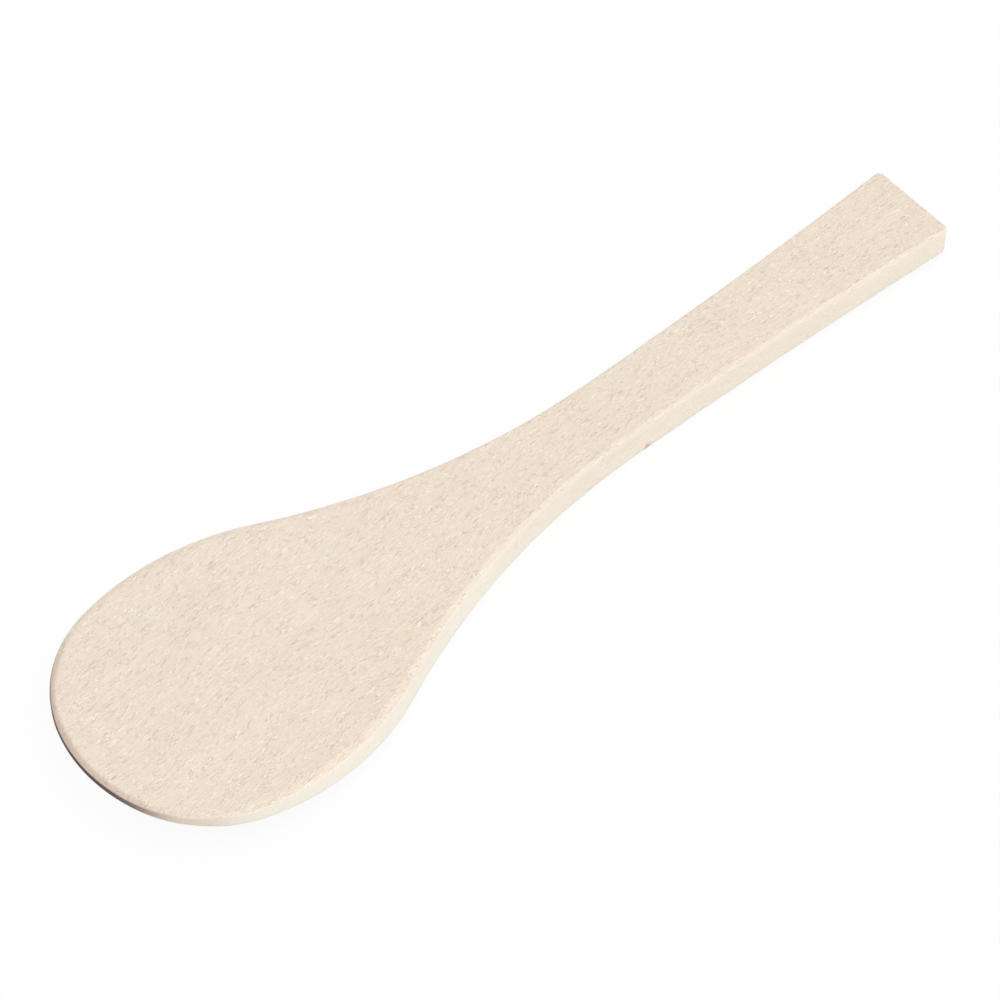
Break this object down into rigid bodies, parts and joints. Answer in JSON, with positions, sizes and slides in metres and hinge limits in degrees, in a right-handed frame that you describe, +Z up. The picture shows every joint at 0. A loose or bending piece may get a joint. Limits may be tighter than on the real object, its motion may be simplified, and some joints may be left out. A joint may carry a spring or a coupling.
{
  "type": "rice paddle",
  "caption": "One-piece wooden rice paddle: a round flat blade ground to a thin lip, a slim curved neck and a flat handle that widens to a squared end.",
  "frame": {"origin": "under the middle of the length and of the width, in the plane of the flat of the underside that the paddle rests on", "axes": "+X along the paddle from the tip of the blade to the end of the handle, +Y across it, +Z up out of the flat face that carries the rice"},
  "size_m": [0.21, 0.059, 0.0088],
  "materials": {
    "beech": "matte"
  },
  "bodies": {
    "root": {"paddle": "beech"}
  },
  "joints": []
}
